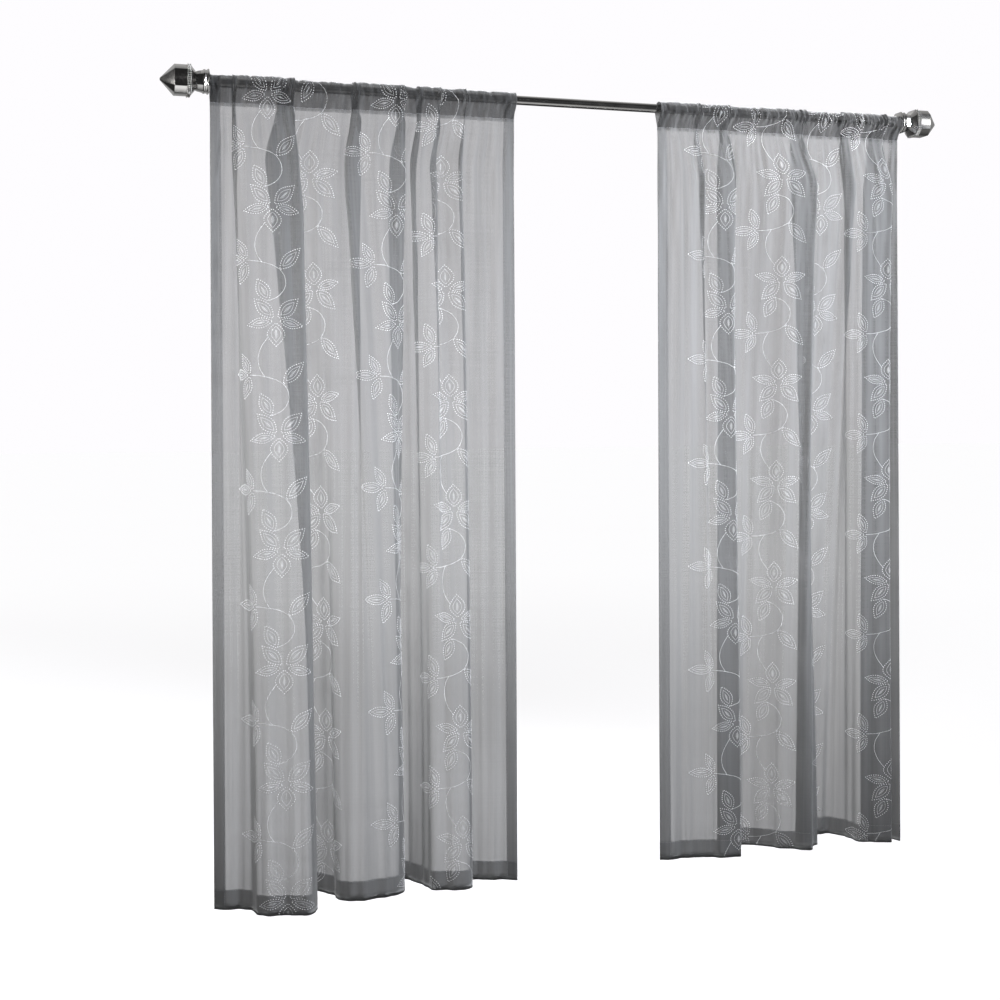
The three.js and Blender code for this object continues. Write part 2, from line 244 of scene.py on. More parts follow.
def folded_section(folds, along, height):
    """The hanging cloth's main folds, as points without the small creases."""
    tucks = read_folds(folds["tucks"], along)
    hem = read_folds(folds["hem"], along)
    heading_x, heading_y = heading_line(folds, along)
    fallen = np.maximum((TUCK_HEIGHT - height) / (TUCK_HEIGHT - HEM_HEIGHT), 0)
    opened = fallen * (1 + EARLY_OPENING * (1 - fallen))
    laid = ease((SEAM_HEIGHT - height) / (SEAM_HEIGHT - TUCK_HEIGHT))
    x = mix(heading_x, mix(tucks[..., 0], hem[..., 0], opened), laid)
    y = mix(heading_y, mix(tucks[..., 1], hem[..., 1], opened), laid)
    return np.stack([x + folds["start"] * MM, y, height + hem[..., 2] * fallen], axis=-1)


hem_middle = folded_section(LEFT_FOLDS, np.array([FLAT_WIDTH / 2]), np.array([HEM_HEIGHT]))
print("middle of the left hem:", hem_middle.round(3))

# %% [markdown]
# ## Creases on the folds
#
# A crease stands out square to the fold that it runs down, so each point is moved that way, found from its
# neighbours on both sides, and not straight to the front. The sharp ripples start at the seam and fade as
# they go down, strongest where the cloth is gathered. The soft ones set in further down.

# %% Creases on the hanging cloth
CREASE_STEP = 2 * MM
DRAWN_START = 30 * MM
DRAWN_FADE = 280 * MM
DRAWN_FLAT, DRAWN_TIGHT = 0.7, 1.4
SETTLED = 250 * MM


def hang(folds, along, height):
    """The hanging cloth with its ripples, which stand out square to each fold."""
    here = folded_section(folds, along, height)
    ahead = folded_section(folds, along + CREASE_STEP, height)
    run = ahead - folded_section(folds, along - CREASE_STEP, height)
    run[..., 2] = 0
    run /= np.linalg.norm(run, axis=-1, keepdims=True) + 1e-9
    below = SEAM_HEIGHT - height
    settled = ease(below / SETTLED)
    drawn = np.exp(-np.maximum(below, 0) / DRAWN_FADE) * ease(below / DRAWN_START)
    drawn = drawn * mix(DRAWN_FLAT, DRAWN_TIGHT, gathered(folds, along))
    out = settled * ripples(SOFT_RIPPLES, along, below) + drawn * ripples(DRAWN_RIPPLES, along, below)
    here[..., 0] += run[..., 1] * out
    here[..., 1] -= run[..., 0] * out
    return here


moved = hang(LEFT_FOLDS, np.array([FLAT_WIDTH / 2]), np.array([HEM_HEIGHT])) - hem_middle
print(f"creases move it by {np.linalg.norm(moved) / MM:.1f} mm")

# %% [markdown]
# ## The pocket
#
# Above the seam the cloth goes round the rod and comes back to the seam behind. One section is enough for
# all of it: a path that starts at the seam, runs up in front of the rod, over it and down again, and ends
# in a short tail below the seam. Tucks and puckers will lift the cloth off that path.

# %% Round the rod
POCKET_RADIUS = 16 * MM
POCKET_TURN = math.radians(110)
POCKET_TAIL = 8 * MM
SEAM_GAP = 1.2 * MM
ARC_POINTS, SIDE_POINTS = 33, 8


def pocket_path():
    """Section of the pocket: distance along it, y, z, and how free it is to lift off the rod."""
    turns = np.linspace(-POCKET_TURN, POCKET_TURN, ARC_POINTS)
    arc_y = POCKET_RADIUS * np.sin(turns)
    arc_z = CROWN_HEIGHT - POCKET_RADIUS * (1 - np.cos(turns))
    rise = np.linspace(0, 1, SIDE_POINTS + 1)[:-1]
    front_y, front_z = mix(0, arc_y[0], rise), mix(SEAM_HEIGHT, arc_z[0], rise)
    back_y, back_z = mix(SEAM_GAP, arc_y[-1], rise[::-1]), front_z[::-1]
    y = np.concatenate([front_y, arc_y, back_y, [SEAM_GAP]])
    z = np.concatenate([front_z, arc_z, back_z, [SEAM_HEIGHT - POCKET_TAIL]])
    far = np.concatenate([[0], np.cumsum(np.hypot(np.diff(y), np.diff(z)))])
    free = np.clip((z - SEAM_HEIGHT) / (arc_z[0] - SEAM_HEIGHT), 0, 1)
    return far, y, z, free


POCKET = pocket_path()
POCKET_LENGTH = POCKET[0][-1]
CROWN_REACH = (POCKET_LENGTH - POCKET_TAIL) / 2
print(f"the pocket takes {POCKET_LENGTH / MM:.0f} mm of cloth round the rod")

# %% [markdown]
# ## Puckers
#
# Cloth that is drawn up on a rod makes puffs and fine puckers, which lean one way and the other. They are
# deeper where a tuck gathers the cloth and deepest halfway up the front, and they fade towards the seam,
# which is sewn flat, and over the crown, where the cloth's weight pulls it down. It never sinks into the rod.

# %% Lift the pocket off the rod
POCKET_LIFT = 0.17
CROWN_LIFT = 0.030
CROWN_PUCKER = 0.12
PUCKER_WAVES = [(31, 3.2, 0.8, 0.50), (47, 5.0, 2.9, -0.38), (83, 4.0, 5.0, 0.30)]
PUCKER_FLAT, PUCKER_TIGHT = 1.0, 1.3
FINE_PUCKERS = [(13.5, 1.5, 0.7, 0.25), (18, 1.8, 3.1, -0.30)]
FINE_FLAT, FINE_TIGHT = 0.6, 1.8
FURTHEST_BACK = 25 * MM
CLOSEST = 0.4 * MM


def pocket(folds, along, round_rod):
    """The cloth round the rod, lifted off it by its tucks and puckers and never sunk into it."""
    far, path_y, path_z, path_free = POCKET
    y, z, free = (np.interp(round_rod, far, path) for path in (path_y, path_z, path_free))
    heading_x, heading_y = heading_line(folds, along)
    forward = FURTHEST_BACK - read_folds(folds["tucks"], along)[..., 1]
    bulge = np.sin(np.pi * np.clip(round_rod / CROWN_REACH, 0, 1))
    tight = gathered(folds, along)
    puff = puffs(PUCKER_WAVES, along, round_rod) * mix(PUCKER_FLAT, PUCKER_TIGHT, tight)
    fine = ripples(FINE_PUCKERS, along, round_rod) * mix(FINE_FLAT, FINE_TIGHT, tight) * bulge
    lift = CROWN_LIFT * forward + CROWN_PUCKER * puff + bulge * (POCKET_LIFT * forward + puff + fine)
    lift = np.maximum(lift, CLOSEST)
    centre_z = CROWN_HEIGHT - POCKET_RADIUS
    away_y, away_z = y, np.maximum(z - centre_z, 0)
    away = np.hypot(away_y, away_z) + 1e-6
    y = y + lift * ease(free) * away_y / away + heading_y * (1 - ease(free))
    z = z + lift * ease(free) * away_z / away
    return np.stack([heading_x + folds["start"] * MM, y, z], axis=-1)


front = pocket(LEFT_FOLDS, np.linspace(0, FLAT_WIDTH, 200), CROWN_REACH / 2)[:, 1]
print(f"the left pocket's front stands {-front.max() / MM:.0f} to {-front.min() / MM:.0f} mm before the axis")

# %% [markdown]
# ## Any place of the cloth
#
# The sheet, its sewing and its embroidery all ask the same thing: where does a spot of the flat cloth end
# up, and which way does the cloth face there? `height` is a flat measure up the cloth, so it carries on past
# the seam and round the rod, and one function answers for them all.

# %% Any place of the cloth
FACING_STEP = 1.5 * MM


def cloth_point(folds, along, height):
    """A place of the flat cloth in the hung curtain, below the seam or round the rod above it."""
    along, height = np.broadcast_arrays(np.asarray(along, float), np.asarray(height, float))
    below = hang(folds, along, np.minimum(height, SEAM_HEIGHT))
    above = pocket(folds, along, np.clip(height - SEAM_HEIGHT, 0, POCKET_LENGTH))
    return np.where((height > SEAM_HEIGHT)[..., None], above, below)


def cloth_frame(folds, along, height):
    """Point, direction across, direction up and direction out of its front, at places of the cloth."""
    point = cloth_point(folds, along, height)
    right = cloth_point(folds, along + FACING_STEP, height)
    above = cloth_point(folds, along, height + FACING_STEP)
    across = right - cloth_point(folds, along - FACING_STEP, height)
    up = above - cloth_point(folds, along, height - FACING_STEP)
    across /= np.linalg.norm(across, axis=-1, keepdims=True) + 1e-9
    out = np.cross(across, up)
    out /= np.linalg.norm(out, axis=-1, keepdims=True) + 1e-9
    return point, across, np.cross(out, across), out


for folds in (LEFT_FOLDS, RIGHT_FOLDS):
    print(folds["name"], "seam's middle:", cloth_point(folds, FLAT_WIDTH / 2, SEAM_HEIGHT).round(3))

# %% [markdown]
# ## The cut, hems and all
#
# A panel is one sheet with its edges turned under, so it is made as one grid: the cut cloth, with the hems
# and the pocket still flat. Its lines stand closer where the cloth bends more, in the drawn-up part and in
# the pocket. A place past a hem's fold is turned back behind the cloth, with a small gap that opens over
# the roll of the fold. Because the hems really are two layers, they come out denser than the rest, and the
# finish also makes the cloth denser towards the hem and darkens it there with painted shade.

# %% Lay out the cut
HEM_GAP = 0.8 * MM
HEM_ROLL = 4 * MM
COLUMN_STEP = 2.5 * MM
HANG_STEP = 20 * MM
DRAWN_STEP = 6 * MM
POCKET_STEP = 5 * MM
DRAWN_ZONE = -270 * MM


def steps(start, end, size):
    return np.linspace(start, end, max(2, round(abs(end - start) / size) + 1))


def turn_under(place, low, high):
    """Where a place past a hem's fold lies, and how far behind the cloth it is."""
    inside = np.clip(place, low, high)
    beyond = np.abs(place - inside)
    return inside + np.sign(inside - place) * beyond, HEM_GAP * np.clip(beyond / HEM_ROLL, 0, 1)


cut_across = np.unique(np.concatenate([
    steps(-SIDE_HEM, 0, COLUMN_STEP),
    steps(0, FLAT_WIDTH, COLUMN_STEP),
    steps(FLAT_WIDTH, FLAT_WIDTH + SIDE_HEM, COLUMN_STEP),
]))
cut_up = np.unique(np.concatenate([
    steps(HEM_HEIGHT - BOTTOM_HEM, HEM_HEIGHT - HEM_ROLL, HANG_STEP),
    [HEM_HEIGHT - HEM_ROLL / 2, HEM_HEIGHT],
    steps(HEM_HEIGHT, DRAWN_ZONE, HANG_STEP),
    steps(DRAWN_ZONE, SEAM_HEIGHT, DRAWN_STEP),
    steps(SEAM_HEIGHT, SEAM_HEIGHT + POCKET_LENGTH, POCKET_STEP),
]))

# %% [markdown]
# ## The sheets
#
# The grid operator gives the faces, and every vertex is then put where its spot of cloth ends up. The flat
# place of each vertex is kept as a UV map in metres, so that the weave can follow the cloth into its folds,
# and how tightly it is gathered is kept as an attribute for the finish.

# %% Make the two sheets
def new_object(name, mesh):
    made = bpy.data.objects.new(name, mesh)
    bpy.context.scene.collection.objects.link(made)
    return made


def make_sheet(folds):
    grid = bmesh.new()
    bmesh.ops.create_grid(grid, x_segments=len(cut_across) - 1, y_segments=len(cut_up) - 1, size=1)
    mesh = bpy.data.meshes.new(f"voile_{folds['name']}")
    grid.to_mesh(mesh)
    grid.free()
    place = np.empty(len(mesh.vertices) * 3)
    mesh.vertices.foreach_get("co", place)
    place = place.reshape(-1, 3)
    column = np.rint((place[:, 0] + 1) / 2 * (len(cut_across) - 1)).astype(int)
    row = np.rint((place[:, 1] + 1) / 2 * (len(cut_up) - 1)).astype(int)
    along, behind_side = turn_under(cut_across[column], 0, FLAT_WIDTH)
    height, behind_hem = turn_under(cut_up[row], HEM_HEIGHT, np.inf)
    point, _, _, out = cloth_frame(folds, along, height)
    point -= out * (behind_side + behind_hem)[:, None]
    mesh.vertices.foreach_set("co", point.ravel())
    flat = np.stack([cut_across[column], cut_up[row]], axis=-1)
    corners = np.empty(len(mesh.loops), int)
    mesh.loops.foreach_get("vertex_index", corners)
    mesh.uv_layers.new(name="cloth").data.foreach_set("uv", flat[corners].ravel())
    mesh.attributes.new("tight", "FLOAT", "POINT").data.foreach_set("value", gathered(folds, along))
    mesh.shade_smooth()
    mesh.update()
    return new_object(mesh.name, mesh)


sheets = {folds["name"]: make_sheet(folds) for folds in (LEFT_FOLDS, RIGHT_FOLDS)}
for sheet in sheets.values():
    print(sheet.name, len(sheet.data.polygons), "quads")

# %% [markdown]
# ## Thread
#
# A stitch seen from a step away is a small bead of thread on the cloth. There are many thousands, so one
# bead of a few faces is made once and copied with arrays into a joined mesh. A bead is laid along its line
# of stitching and pressed flat against the cloth, and it shows on both sides as a real stitch does.

# %% One bead of thread
def bead(around, rings):
    """Corners and triangles of a small round bead, one unit across."""
    ball = bmesh.new()
    bmesh.ops.create_uvsphere(ball, u_segments=around, v_segments=rings, radius=0.5)
    bmesh.ops.triangulate(ball, faces=ball.faces)
    ball.verts.index_update()
    corners = np.array([vertex.co for vertex in ball.verts])
    triangles = np.array([[vertex.index for vertex in face.verts] for face in ball.faces])
    ball.free()
    return corners, triangles


ROUND_BEAD = bead(4, 3)
FINE_BEAD = bead(4, 2)
print("a round stitch has", len(ROUND_BEAD[1]), "triangles and a fine one", len(FINE_BEAD[1]))

# %% [markdown]
# ## Lines of stitches
#
# Lines are drawn on the flat cloth, where they are simple, and the cloth carries them into its folds. A line
# is cut into even steps, each step takes one bead, and the bead is turned to the line's heading there. All
# the beads of a piece go into one mesh, because thousands of loose objects would slow everything down.

# %% Lay stitches along a line
def stitch_points(folds, shape, along, height, heading, size):
    """Corners and triangles of stitches at flat places, turned to a flat heading, of (long, wide, thick)."""
    corners, triangles = shape
    point, across, up, out = cloth_frame(folds, along, height)
    run = across * np.cos(heading)[:, None] + up * np.sin(heading)[:, None]
    side = np.cross(out, run)
    size = np.broadcast_to(np.asarray(size, float), (len(point), 3))
    spots = point[:, None, :] + sum(
        corners[None, :, axis, None] * size[:, None, axis, None] * direction[:, None, :]
        for axis, direction in enumerate((run, side, out))
    )
    numbers = triangles[None] + (np.arange(len(point)) * len(corners))[:, None, None]
    return spots.reshape(-1, 3), numbers.reshape(-1, 3)


def join_stitches(name, groups):
    """One mesh from groups of stitches."""
    spots, numbers, count = [], [], 0
    for group_spots, group_numbers in groups:
        spots.append(group_spots)
        numbers.append(group_numbers + count)
        count += len(group_spots)
    mesh = bpy.data.meshes.new(name)
    mesh.from_pydata(np.concatenate(spots), [], np.concatenate(numbers))
    mesh.shade_smooth()
    mesh.update()
    return new_object(name, mesh)


def even_places(points, pitch):
    """Evenly spaced places along a line of flat points, with the line's heading at each."""
    points = np.asarray(points, float)
    far = np.concatenate([[0], np.cumsum(np.hypot(*np.diff(points, axis=0).T))])
    at = np.linspace(0, far[-1], max(2, round(far[-1] / pitch) + 1))
    at = (at[:-1] + at[1:]) / 2
    spots = np.stack([np.interp(at, far, points[:, axis]) for axis in (0, 1)], axis=-1)
    slope = np.diff(points, axis=0)
    heading = np.arctan2(slope[:, 1], slope[:, 0])
    which = np.clip(np.searchsorted(far, at, side="right") - 1, 0, len(heading) - 1)
    return spots, heading[which]


print("four even places along a line:", even_places([(0, 0), (1, 0)], 0.25)[0][:, 0])

# %% [markdown]
# ## Sewing
#
# The hems are held by one row of short machine stitches near the turned edge, and the pocket by a seam.
# They are small, but they draw the thin paler line that ends each double layer of cloth.

# %% Sew the hems and the seam
SEWING_PITCH = 4 * MM
SEWING_STITCH = (3.1 * MM, 0.9 * MM, 0.9 * MM)
SEWING_INSET = 2 * MM


def sew(folds):
    left, right = SIDE_HEM - SEWING_INSET, FLAT_WIDTH - SIDE_HEM + SEWING_INSET
    hem_line = HEM_HEIGHT + BOTTOM_HEM - SEWING_INSET
    lines = [
        [(0, hem_line), (FLAT_WIDTH, hem_line)],
        [(0, SEAM_HEIGHT), (FLAT_WIDTH, SEAM_HEIGHT)],
        [(left, HEM_HEIGHT), (left, SEAM_HEIGHT)],
        [(right, HEM_HEIGHT), (right, SEAM_HEIGHT)],
    ]
    groups = []
    for line in lines:
        spots, heading = even_places(line, SEWING_PITCH)
        groups.append(stitch_points(folds, FINE_BEAD, spots[:, 0], spots[:, 1], heading, SEWING_STITCH))
    return join_stitches(f"sewing_{folds['name']}", groups)


sewing = {folds["name"]: sew(folds) for folds in (LEFT_FOLDS, RIGHT_FOLDS)}
for piece in sewing.values():
    print(piece.name, len(piece.data.polygons), "triangles")

# %% [markdown]
# ## A spray of flowers
#
# The embroidery repeats one spray: a flower with five petals, a stem that curls down from it, a bud on a
# side branch and two leaves. Every petal and leaf is the same pointed oval, so a spray is a short list of
# ovals, each with its base, tip and width, and three stems, each with a few points. All are in millimetres
# from the flower's centre.

# %% Draw one spray flat
PETALS = [
    ((-6, 6), (-52, 54), 33), ((6, 6), (58, 55), 35), ((-9, -2), (-71, -14), 25),
    ((9, -2), (68, -16), 25), ((0, -8), (-1, -67), 43),
]
BUD_PETALS = [
    ((-73, -141), (-146, -138), 26), ((-68, -137), (-94, -87), 26), ((-68, -146), (-90, -203), 28),
]
LEAVES = [((14, -163), (67, -108), 31), ((-17, -245), (-43, -188), 33)]
STEMS = [
    [(-19, -42), (-38, -70), (-46, -97), (-43, -123), (-31, -145)],
    [(-68, -141), (-48, -142), (-31, -145), (-6, -152), (14, -163)],
    [(14, -163), (25, -182), (26, -207), (10, -231), (-17, -245)],
]
OVAL_POINTS = 40
OVAL_FULLEST = 0.92


def oval(base, tip, width, start=0.0, end=1.0, share=1.0):
    """A pointed oval, or a narrower one inside it, as a closed line from its base round its tip."""
    base, tip = np.array(base, float) * MM, np.array(tip, float) * MM
    axis = tip - base
    side = np.array([-axis[1], axis[0]]) / np.linalg.norm(axis)
    t = np.linspace(0, 1, OVAL_POINTS)
    swell = (width * MM / 2 * share * np.sin(np.pi * t**OVAL_FULLEST))[:, None] * side
    spine = base + axis * mix(start, end, t)[:, None]
    return np.concatenate([spine + swell, (spine - swell)[::-1]])


OVALS = PETALS + BUD_PETALS + LEAVES
print("one spray has", len(OVALS), "ovals and", len(STEMS), "stems")

# %% [markdown]
# ## Stitches of a spray
#
# Each oval is stitched three times: a dotted outline, a fine line inside it and a short core in satin
# stitch, whose stitches lie across the oval and are as long as it is wide there. The stems are one line of
# firmer stitches. The whole spray is worked out once and flat.

# %% Stitch one spray flat
OUTLINE_PITCH, OUTLINE_STITCH = 6.1 * MM, (3.8 * MM, 3.0 * MM, 1.7 * MM)
FINE_PITCH, FINE_STITCH = 3.6 * MM, (3.9 * MM, 1.2 * MM, 1.1 * MM)
FINE_OVAL = {"start": 0.14, "end": 0.82, "share": 0.56}
STEM_PITCH, STEM_STITCH = 3.6 * MM, (3.9 * MM, 1.8 * MM, 1.3 * MM)
STEM_POINTS = 60
CORE_PITCH, CORE_THICKNESS, CORE_HEIGHT = 3.1 * MM, 1.3 * MM, 1.1 * MM
CORE_OVAL = {"start": 0.26, "end": 0.68, "share": 0.26}


def gather_lines(shape, lines, size):
    """Stitches of one kind, all of one size: (bead, places, headings, sizes)."""
    spots, heading = (np.concatenate(part) for part in zip(*lines))
    return shape, spots, heading, np.broadcast_to(size, (len(spots), 3))


def stem_curve(points):
    points = np.array(points, float) * MM
    far = np.concatenate([[0], np.cumsum(np.hypot(*np.diff(points, axis=0).T))])
    return smooth_line(far, points, np.linspace(0, far[-1], STEM_POINTS))


def satin_core(petal):
    """Stitches across the middle of an oval, each as long as the core is wide at its place."""
    there, back = np.split(oval(*petal, **CORE_OVAL), 2)
    spine, width = (there + back[::-1]) / 2, np.hypot(*(there - back[::-1]).T)
    spots, heading = even_places(spine, CORE_PITCH)
    long = np.interp(np.linspace(0, 1, len(spots)), np.linspace(0, 1, len(width)), width) + CORE_THICKNESS
    size = np.stack([long, np.full_like(long, CORE_THICKNESS), np.full_like(long, CORE_HEIGHT)], axis=-1)
    return spots, heading + np.pi / 2, size


outlines = [even_places(oval(*petal), OUTLINE_PITCH) for petal in OVALS]
fine_lines = [even_places(oval(*petal, **FINE_OVAL), FINE_PITCH) for petal in OVALS]
stems = [even_places(stem_curve(points), STEM_PITCH) for points in STEMS]
SPRAY = [
    gather_lines(ROUND_BEAD, outlines, OUTLINE_STITCH),
    gather_lines(FINE_BEAD, fine_lines, FINE_STITCH),
    gather_lines(FINE_BEAD, stems, STEM_STITCH),
    (FINE_BEAD, *(np.concatenate(part) for part in zip(*map(satin_core, OVALS)))),
]
print("one spray has", sum(len(line[1]) for line in SPRAY), "stitches")

# %% [markdown]
# ## Rows of sprays
#
# The sprays run down the cloth in columns. Every second column is turned upside down and set part of a
# repeat lower, so that the flowers never stand in line across the curtain. Stitches that would run off the
# top of the pocket or past the hem's fold are left out, as they are where cloth is cut.

# %% Embroider the panels
SPRAY_REPEAT = 294 * MM
TURNED_DROP = 203 * MM
FLOWER_ROWS = range(-2, 8)
EDGE_CLEAR = 5 * MM


def embroider(folds, number, centre):
    turned = number % 2 == 1
    up = -1 if turned else 1
    first = folds["first_flower"] * MM - (TURNED_DROP if turned else 0)
    groups = []
    for shape, spots, heading, size in SPRAY:
        height = np.concatenate([first - SPRAY_REPEAT * row + up * spots[:, 1] for row in FLOWER_ROWS])
        along = np.tile(centre * MM + spots[:, 0], len(FLOWER_ROWS))
        headings = np.tile(up * heading, len(FLOWER_ROWS))
        sizes = np.tile(size, (len(FLOWER_ROWS), 1))
        kept = (height > HEM_HEIGHT + EDGE_CLEAR) & (height < SEAM_HEIGHT + CROWN_REACH)
        groups.append(stitch_points(folds, shape, along[kept], height[kept], headings[kept], sizes[kept]))
    return join_stitches(f"sprays_{folds['name']}_{number + 1}", groups)


sprays = {
    folds["name"]: [embroider(folds, number, centre) for number, centre in enumerate(folds["spray_columns"])]
    for folds in (LEFT_FOLDS, RIGHT_FOLDS)
}
for pieces in sprays.values():
    print([(piece.name, len(piece.data.polygons)) for piece in pieces])

# %% [markdown]
# ## The rod
#
# The rod is a round bar, so a cone with equal ends makes it, with enough sides that its highlight runs as
# one clean line. The solid gives its length.

# %% Turn the rod
ROD_RADIUS = 12.5 * MM
ROD_SIDES = 72


def along_x(shape):
    bmesh.ops.rotate(shape, verts=shape.verts, cent=(0, 0, 0), matrix=Matrix.Rotation(math.pi / 2, 3, "Y"))


def finish_mesh(name, shape, smooth_angle):
    mesh = bpy.data.meshes.new(name)
    bmesh.ops.recalc_face_normals(shape, faces=shape.faces)
    shape.to_mesh(mesh)
    shape.free()
    mesh.shade_smooth()
    mesh.set_sharp_from_angle(angle=smooth_angle)
    return new_object(name, mesh)


rod_low, rod_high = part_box("rod")
rod_length = rod_high.x - rod_low.x
bar = bmesh.new()
bmesh.ops.create_cone(
    bar, cap_ends=True, segments=ROD_SIDES, radius1=ROD_RADIUS, radius2=ROD_RADIUS, depth=rod_length
)
along_x(bar)
rod = finish_mesh("polished_rod", bar, math.radians(40))
print("rod", round(rod_length, 3), "m long,", len(rod.data.polygons), "faces")

# %% [markdown]
# ## Faceted castings
#
# At each end a square sleeve with cut corners and two raised ridges tapers down to a neck, and a faceted
# block with a pyramid point stands on the neck. Both are one outline pushed along the rod: an eight-sided
# face is extruded from section to section, and each new face is set to its own size. A narrow bevel on every
# edge catches the light, because no cast edge is perfectly sharp. A section is its distance out from the
# collar's face, half its width and the cut of its corners, in millimetres.

# %% Shape the ends of the rod
COLLAR_SECTIONS = [
    (0, 30, 14), (3.5, 30, 14), (6, 27.6, 12.8), (9, 27.6, 12.8), (11.5, 28.8, 13.2), (14, 28.8, 13.2),
    (16.5, 26.4, 12), (28, 24, 10.6), (33, 23, 10),
]
FINIAL_SECTIONS = [
    (33.3, 22, 9), (45, 34, 13.6), (46, 36.4, 15), (57, 36.4, 15), (58, 36.5, 15), (88, 36.5, 15),
    (123, 3, 1.2),
]
EDGE_BEVEL = 1.1 * MM
BEVELLED_FROM = math.radians(12)


def cut_square(half, cut):
    """Corners of a square with its corners cut away, in order round it, in metres."""
    flat = half - cut
    corners = [(flat, half), (half, flat), (half, -flat), (flat, -half)]
    corners += [(-y, -z) for y, z in corners]
    return [(y * MM, z * MM) for y, z in corners]


def set_section(face, out, half, cut):
    """Puts an eight-sided face at its place along the rod, at its own size."""
    for vertex, (y, z) in zip(face.verts, cut_square(half, cut)):
        vertex.co = (out * MM, y, z)


def faceted_bar(sections):
    bar = bmesh.new()
    bmesh.ops.create_circle(bar, cap_ends=True, segments=8, radius=MM)
    face = next(iter(bar.faces))
    set_section(face, *sections[0])
    for section in sections[1:]:
        made = bmesh.ops.extrude_face_region(bar, geom=[face])
        face = next(item for item in made["geom"] if isinstance(item, bmesh.types.BMFace))
        set_section(face, *section)
    bmesh.ops.recalc_face_normals(bar, faces=bar.faces)
    edges = [edge for edge in bar.edges if edge.is_manifold and edge.calc_face_angle() > BEVELLED_FROM]
    bmesh.ops.bevel(
        bar, geom=edges, offset=EDGE_BEVEL, offset_type="OFFSET", affect="EDGES", segments=2, profile=0.5,
        material=-1, clamp_overlap=True,
    )
    return bar


print("collar sections:", len(COLLAR_SECTIONS), "finial sections:", len(FINIAL_SECTIONS))

# %% [markdown]
# ## Beads and both ends
#
# The finial's rim is two rows of small balls set side by side round the block, half sunk in it. They could
# be a bump in the finish, but a row of balls shows in the outline and catches a light on each ball. The two
# ends are alike, so each is built at the right and turned half a circle for the left.

# %% Set both ends on the rod
COLLAR_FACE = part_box("collar_right")[0].x
BEAD_RINGS = (48.4, 53.8)
BEAD_SEAT, BEAD_CUT = 36.6, 15
BEAD_SIZE, BEAD_PITCH = 5.0 * MM, 5.5 * MM
SMOOTH_CASTING, SMOOTH_BEAD = math.radians(25), math.radians(80)


def bead_ring():
    """Two rows of small beads round the finial's widest band."""
    ring = bmesh.new()
    corners = cut_square(BEAD_SEAT, BEAD_CUT)
    spots, _ = even_places(corners + corners[:1], BEAD_PITCH)
    for out in BEAD_RINGS:
        for y, z in spots:
            bmesh.ops.create_icosphere(
                ring, subdivisions=2, radius=BEAD_SIZE / 2, matrix=Matrix.Translation((out * MM, y, z))
            )
    return ring


def place_end(bar, side):
    """Moves an end piece to the left or right end of the rod."""
    if side == "left":
        bmesh.ops.rotate(bar, verts=bar.verts, cent=(0, 0, 0), matrix=Matrix.Rotation(math.pi, 3, "Z"))
    reach = COLLAR_FACE if side == "right" else -COLLAR_FACE
    bmesh.ops.translate(bar, verts=bar.verts, vec=(reach, 0, 0))
    return bar


ends = {}
for side in ("left", "right"):
    sleeve = place_end(faceted_bar(COLLAR_SECTIONS), side)
    block = place_end(faceted_bar(FINIAL_SECTIONS), side)
    ends[side] = {
        "collar": finish_mesh(f"sleeve_{side}", sleeve, SMOOTH_CASTING),
        "finial": finish_mesh(f"finial_block_{side}", block, SMOOTH_CASTING),
        "beads": finish_mesh(f"finial_beads_{side}", place_end(bead_ring(), side), SMOOTH_BEAD),
    }
    print(side, "end:", {part: len(piece.data.polygons) for part, piece in ends[side].items()})

# %% [markdown]
# ## Writing a finish
#
# A finish is a small tree of nodes. It could be wired by hand, node by node, but its sums read best as sums,
# so one class wraps a socket and lets +, -, * and / add the Math nodes.

# %% Sums of sockets
class Tone:
    """A number or colour that varies over a surface: one output socket, with arithmetic on numbers."""

    def __init__(self, finish, socket):
        self.finish, self.socket = finish, socket

    def math(self, operation, *terms):
        return self.finish.node("ShaderNodeMath", {"operation": operation}, dict(enumerate(terms)))

    def __add__(self, other):
        return self.math("ADD", self, other)

    def __sub__(self, other):
        return self.math("SUBTRACT", self, other)

    def __rsub__(self, other):
        return self.math("SUBTRACT", other, self)

    def __mul__(self, other):
        return self.math("MULTIPLY", self, other)

    def __rtruediv__(self, other):
        return self.math("DIVIDE", other, self)

    def __pow__(self, other):
        return self.math("POWER", self, other)

    __radd__, __rmul__ = __add__, __mul__

    def wave(self, length):
        """A sine wave of that length, from -1 to 1."""
        return self.math("SINE", self * (2 * math.pi / length))


print("a tone can", [name.strip("_") for name, item in vars(Tone).items() if callable(item)])

# %% [markdown]
# ## Trees of nodes
#
# Every other node comes from one method, which sets the node up first and then feeds its sockets with values
# or with other sockets. The patterns that more than one finish needs are short methods on top of it.

